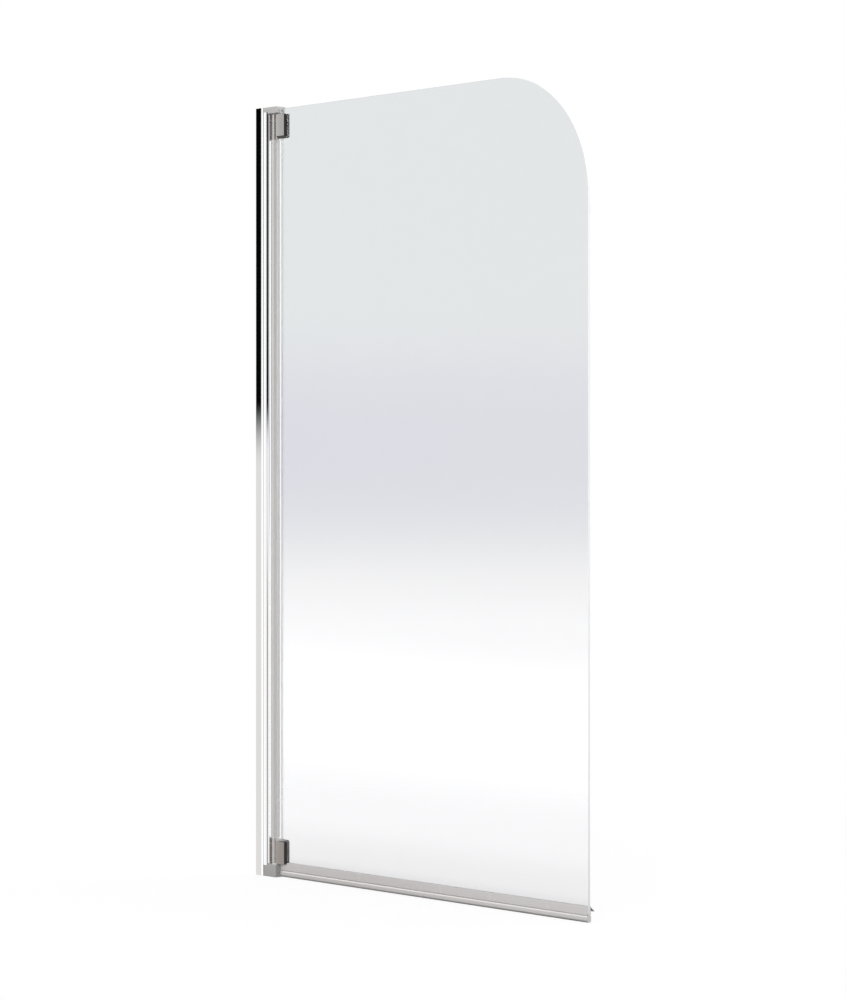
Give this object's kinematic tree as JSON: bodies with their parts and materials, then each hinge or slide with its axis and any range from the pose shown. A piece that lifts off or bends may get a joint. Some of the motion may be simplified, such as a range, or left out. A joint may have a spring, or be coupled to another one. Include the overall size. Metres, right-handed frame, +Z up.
{
  "type": "bath screen",
  "caption": "Hinged clear glass bath screen with a quarter-round top corner, clamp hinges on an adjustable bright wall profile, and clear vertical and drip seals.",
  "frame": {"origin": "wall face of the wall channel, at its foot, in the middle plane of the glass", "axes": "+X from the wall to the free edge of the glass, +Y towards the bath, +Z up"},
  "size_m": [0.85, 0.0276, 1.4],
  "materials": {
    "bright_profile": "bright polished",
    "chrome_fitting": "polished chrome plate",
    "clear_glass": "clear toughened",
    "clear_seal": "translucent soft PVC",
    "steel": "plain stainless",
    "acetal": "natural acetal",
    "gasket_rubber": "soft grey",
    "grey_plastic": "moulded"
  },
  "bodies": {
    "wall_side": {"wall_channel": "bright_profile", "channel_plug": "grey_plastic", "adjust_screws": "steel", "adjust_nuts": "steel", "screw_covers": "chrome_fitting"},
    "post": {"pivot_profile": "bright_profile", "top_cap": "chrome_fitting", "bottom_cap": "chrome_fitting", "top_cap_screws": "steel", "bottom_cap_screws": "steel", "top_pin": "steel", "bottom_pin": "steel", "thrust_washer": "steel"},
    "screen": {"top_hinge": "chrome_fitting", "bottom_hinge": "chrome_fitting", "top_front_plate": "chrome_fitting", "bottom_front_plate": "chrome_fitting", "glass_panel": "clear_glass", "vertical_seal": "clear_seal", "bottom_seal": "clear_seal", "top_clamp_screws": "steel", "bottom_clamp_screws": "steel", "top_bush": "acetal", "bottom_bush": "acetal", "glass_sleeves": "acetal", "top_front_gasket": "gasket_rubber", "top_back_gasket": "gasket_rubber", "bottom_front_gasket": "gasket_rubber", "bottom_back_gasket": "gasket_rubber"}
  },
  "joints": [
    {"name": "width_adjust", "type": "slide", "parent": "wall_side", "child": "post", "axis": [1, 0, 0], "range_m": [0, 0.01]},
    {"name": "screen_swing", "type": "hinge", "parent": "post", "child": "screen", "pos_m": [0.0412, 0, 0.0225], "axis": [0, 0, 1], "range_deg": [-90, 90]}
  ]
}
